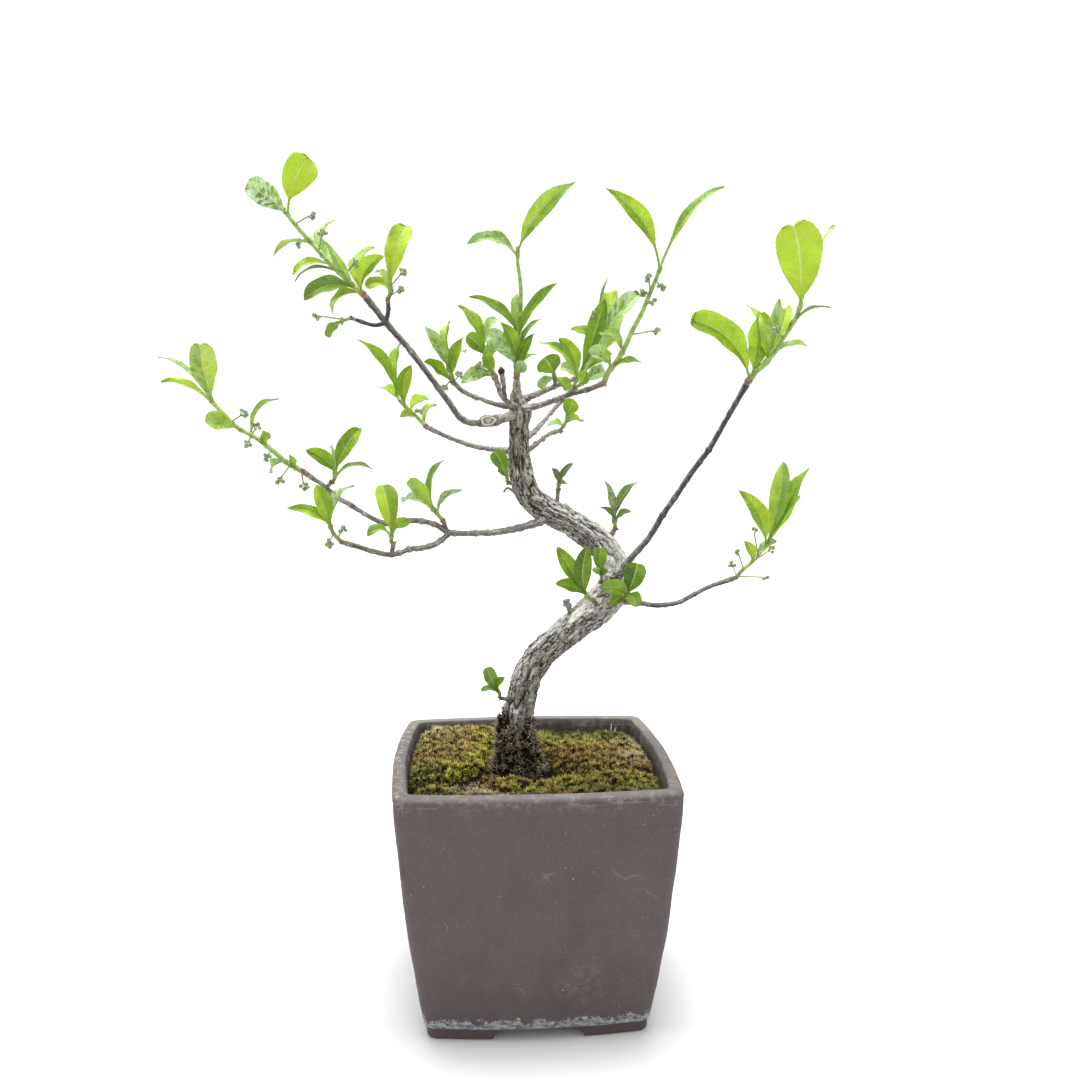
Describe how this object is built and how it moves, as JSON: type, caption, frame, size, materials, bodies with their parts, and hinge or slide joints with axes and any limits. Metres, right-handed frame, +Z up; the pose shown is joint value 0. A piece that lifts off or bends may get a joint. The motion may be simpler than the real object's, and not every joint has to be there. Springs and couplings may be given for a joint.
{
  "type": "japanese spindle tree bonsai",
  "caption": "Small spindle tree bonsai: a fissured, S-shaped trunk with thin branches and leafy shoots, rooted in mossy soil in a square, tapered, unglazed clay pot.",
  "frame": {"origin": "on the ground, under the middle of the whole plant's box", "axes": "+Z up, +X to the right and +Y away from the viewer who stands in front of the pot"},
  "size_m": [0.2578, 0.1068, 0.3168],
  "materials": {
    "clay": "matte",
    "net": "matte",
    "soil": "matte",
    "dark_moss": "matte",
    "moss": "matte",
    "bark": "matte",
    "leaf": "satin"
  },
  "bodies": {
    "root": {"pot": "clay", "drain_net": "net", "soil": "soil", "moss_collar": "dark_moss", "moss_left": "moss", "moss_front_left": "moss", "moss_front": "moss", "moss_front_right": "moss", "moss_back_right": "moss", "tree_wood": "bark", "shoot_left_tip": "leaf", "shoot_left_inner": "leaf", "shoot_low_left_tip": "leaf", "shoot_left_middle": "leaf", "shoot_fork": "leaf", "shoot_back_left": "leaf", "shoot_high_left": "leaf", "shoot_high_inner": "leaf", "shoot_high_outer": "leaf", "shoot_front_left": "leaf", "shoot_crown_left": "leaf", "shoot_crown": "leaf", "shoot_right_spur": "leaf", "shoot_right_inner": "leaf", "shoot_right_tip": "leaf", "shoot_right_under": "leaf", "shoot_back_right": "leaf", "shoot_back_low": "leaf", "shoot_far_right": "leaf", "shoot_low_right": "leaf", "shoot_foot": "leaf", "shoot_bend_left": "leaf", "shoot_bend_middle": "leaf", "shoot_bend_right": "leaf", "shoot_trunk_left": "leaf", "shoot_trunk_back": "leaf", "shoot_knob": "leaf"}
  },
  "joints": []
}
